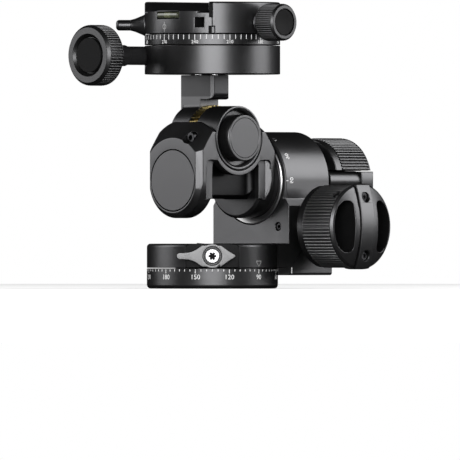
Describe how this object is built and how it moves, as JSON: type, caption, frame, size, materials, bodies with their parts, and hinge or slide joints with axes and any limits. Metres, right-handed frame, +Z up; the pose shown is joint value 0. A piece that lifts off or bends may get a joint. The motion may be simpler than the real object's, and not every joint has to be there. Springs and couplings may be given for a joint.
{
  "type": "geared tripod head",
  "caption": "Geared tripod head: panning base, worm-driven roll and pitch axes with winged gear knobs, and a panoramic dovetail clamp with a lock knob and a jaw knob.",
  "frame": {"origin": "on the pan axis, on the underside of the base, where the tripod's screw enters", "axes": "+Z up along the pan axis; +Y from the front cover to the pitch gear knob, along the roll axis; +X along the pitch axis, towards the roll gear knob"},
  "size_m": [0.0968, 0.1487, 0.1312],
  "materials": {
    "black_anodised": "satin black anodised aluminium",
    "grey_anodised": "satin grey anodised aluminium",
    "polished_steel": "turned steel",
    "brass": "cut brass",
    "black_polymer": "matte moulded",
    "white_polymer": "low-friction washer",
    "level_vial": "clear vial with green liquid"
  },
  "bodies": {
    "base": {"base_ring": "black_anodised", "tripod_socket": "polished_steel", "pan_plate": "black_anodised", "pan_plate_screw_1": "polished_steel", "pan_plate_screw_2": "polished_steel", "pan_plate_screw_3": "polished_steel", "pan_washer": "white_polymer"},
    "pan_bracket": {"bracket": "black_anodised", "roll_bearing_ring": "polished_steel", "roll_rear_cap": "black_anodised", "roll_worm_bush": "black_anodised", "roll_worm_end_cap": "black_anodised", "bush_set_screw": "polished_steel"},
    "pan_lock_lever": {"pan_lever": "grey_anodised", "pan_lever_screw": "polished_steel", "pan_lever_stud": "polished_steel"},
    "roll_unit": {"roll_housing": "black_anodised", "front_cover": "black_anodised", "roll_wheel": "brass", "roll_wheel_nut": "polished_steel", "pitch_worm_front_bush": "brass", "pitch_worm_rear_bush": "brass", "pitch_bush": "brass", "housing_screw": "polished_steel"},
    "roll_knob_unit": {"roll_knob": "black_anodised", "roll_worm": "polished_steel"},
    "roll_wing_unit": {"roll_wing": "black_anodised"},
    "pitch_unit": {"pitch_arm": "black_anodised", "pitch_axle": "polished_steel", "pitch_wheel": "brass", "pitch_cap": "grey_anodised", "pitch_axle_screw": "polished_steel", "arm_screw_1": "polished_steel", "arm_screw_2": "polished_steel", "clamp_base": "black_anodised", "clamp_scale_ring": "black_anodised", "clamp_lock_cotter": "brass"},
    "pitch_knob_unit": {"pitch_knob": "black_anodised", "pitch_worm": "polished_steel"},
    "pitch_wing_unit": {"pitch_wing": "black_anodised"},
    "clamp_lock_unit": {"clamp_lock_knob": "black_anodised", "clamp_lock_pad": "black_polymer", "clamp_lock_screw": "polished_steel"},
    "clamp_unit": {"clamp_body": "black_anodised", "clamp_collar": "polished_steel", "spirit_level": "level_vial", "plunger_boss": "black_anodised", "jaw_guide_pin_1": "polished_steel", "jaw_guide_pin_2": "polished_steel"},
    "plunger_unit": {"index_plunger": "black_anodised"},
    "jaw_unit": {"clamp_jaw": "black_anodised"},
    "jaw_knob_unit": {"jaw_knob": "black_anodised", "jaw_knob_pad": "black_polymer", "jaw_screw": "polished_steel"}
  },
  "joints": [
    {"name": "pan", "type": "hinge", "parent": "base", "child": "pan_bracket", "pos_m": [0, 0, 0.015], "axis": [0, 0, 1], "continuous": true},
    {"name": "pan_lock", "type": "hinge", "parent": "pan_bracket", "child": "pan_lock_lever", "pos_m": [0.02086, -0.02086, 0.0149], "axis": [0.7071, -0.7071, 0], "range_deg": [-22, 12]},
    {"name": "roll", "type": "hinge", "parent": "pan_bracket", "child": "roll_unit", "pos_m": [0, 0, 0.0494], "axis": [0, 1, 0], "range_deg": [-90, 45]},
    {"name": "roll_knob_turn", "type": "hinge", "parent": "pan_bracket", "child": "roll_knob_unit", "pos_m": [0.0345, 0.03905, 0.0284], "axis": [1, 0, 0], "range_deg": [-4500, 2250]},
    {"name": "roll_wing_pull", "type": "slide", "parent": "roll_knob_unit", "child": "roll_wing_unit", "axis": [1, 0, 0], "range_m": [0, 0.003], "stiffness_N_per_m": 600, "springref_m": -0.003},
    {"name": "pitch", "type": "hinge", "parent": "roll_unit", "child": "pitch_unit", "pos_m": [0, 0, 0.0689], "axis": [1, 0, 0], "range_deg": [-30, 30]},
    {"name": "pitch_knob_turn", "type": "hinge", "parent": "roll_unit", "child": "pitch_knob_unit", "pos_m": [0, 0.0619, 0.0494], "axis": [0, 1, 0], "range_deg": [-1350, 1350]},
    {"name": "pitch_wing_pull", "type": "slide", "parent": "pitch_knob_unit", "child": "pitch_wing_unit", "axis": [0, 1, 0], "range_m": [0, 0.003], "stiffness_N_per_m": 600, "springref_m": -0.003},
    {"name": "clamp_pan", "type": "hinge", "parent": "pitch_unit", "child": "clamp_unit", "pos_m": [0, 0, 0.1148], "axis": [0, 0, 1], "continuous": true},
    {"name": "clamp_lock_turn", "type": "hinge", "parent": "pitch_unit", "child": "clamp_lock_unit", "pos_m": [-0.021, -0.0492, 0.1065], "axis": [0, -1, 0], "range_deg": [0, 270]},
    {"name": "index_plunger_pull", "type": "slide", "parent": "clamp_unit", "child": "plunger_unit", "axis": [-0.7071, -0.7071, 0], "range_m": [0, 0.004], "stiffness_N_per_m": 300, "springref_m": -0.002},
    {"name": "jaw_slide", "type": "slide", "parent": "clamp_unit", "child": "jaw_unit", "axis": [1, 0, 0], "range_m": [0, 0.003]},
    {"name": "jaw_knob_turn", "type": "hinge", "parent": "jaw_unit", "child": "jaw_knob_unit", "pos_m": [0.0353, 0, 0.1215], "axis": [1, 0, 0], "range_deg": [0, 1080]}
  ],
  "couplings": [
    {"joint": "roll_knob_turn", "follows": "roll", "ratio": 50},
    {"joint": "pitch_knob_turn", "follows": "pitch", "ratio": -45},
    {"joint": "jaw_knob_turn", "follows": "jaw_slide", "rad_per_m": 6283}
  ]
}
